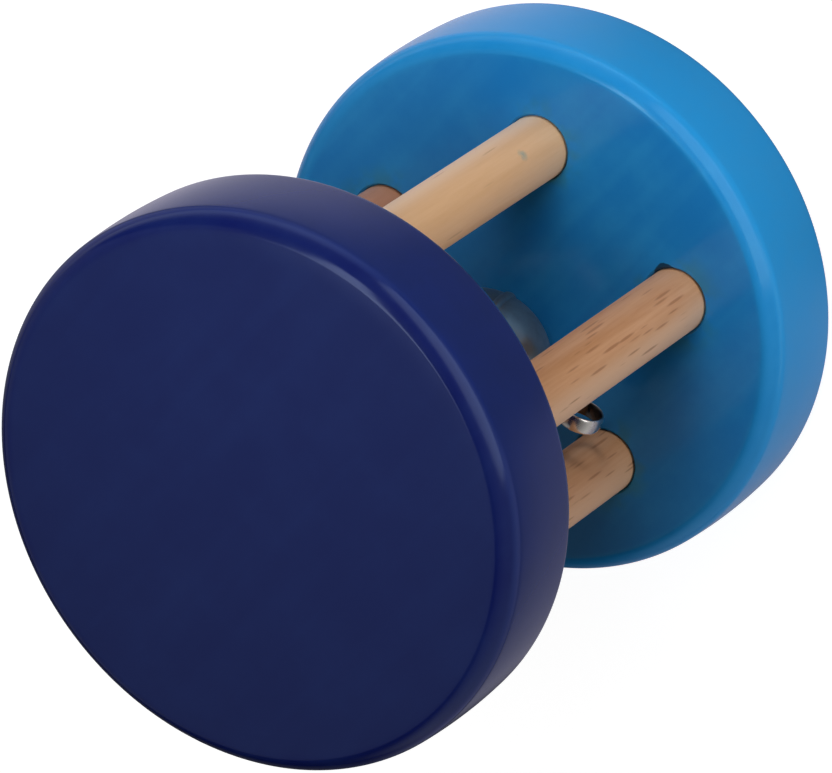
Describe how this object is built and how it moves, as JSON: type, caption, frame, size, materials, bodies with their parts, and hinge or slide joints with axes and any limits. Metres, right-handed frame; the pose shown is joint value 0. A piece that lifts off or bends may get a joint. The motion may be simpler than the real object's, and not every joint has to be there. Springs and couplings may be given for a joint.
{
  "type": "wooden bell rattle",
  "caption": "Baby's wooden rattle: a navy and a sky blue painted disc joined by a ring of bare dowels, which cage a loose jingle bell that rings when the rattle is shaken or rolled.",
  "frame": {"origin": "centre of the sky blue disc's outer face, on which the rattle stands", "axes": "+Z along the rattle's axis from the sky blue disc to the navy disc; +Y through the first dowel"},
  "size_m": [0.068, 0.068, 0.079],
  "materials": {
    "sky_paint": "gloss sky blue paint on beech",
    "navy_paint": "gloss navy paint on beech",
    "beech": "bare sanded beech with dark flecks",
    "pale_beech": "bare sanded pale wood",
    "nickel": "bright nickel plate",
    "steel": "plain steel ball"
  },
  "bodies": {
    "frame": {"sky_disc": "sky_paint", "navy_disc": "navy_paint", "dowel_1": "beech", "dowel_2": "beech", "dowel_3": "beech", "dowel_4": "pale_beech", "dowel_5": "beech"},
    "bell": {"bell_upper_shell": "nickel", "bell_lower_shell": "nickel", "bell_loop": "nickel"},
    "pellet": {"bell_pellet": "steel"}
  },
  "joints": [
    {"name": "bell_slide", "type": "slide", "parent": "frame", "child": "bell", "axis": [0, 0, 1], "range_m": [0, 0.0299]},
    {"name": "pellet_slide", "type": "slide", "parent": "bell", "child": "pellet", "axis": [0, 0, 1], "range_m": [0, 0.0107]}
  ]
}
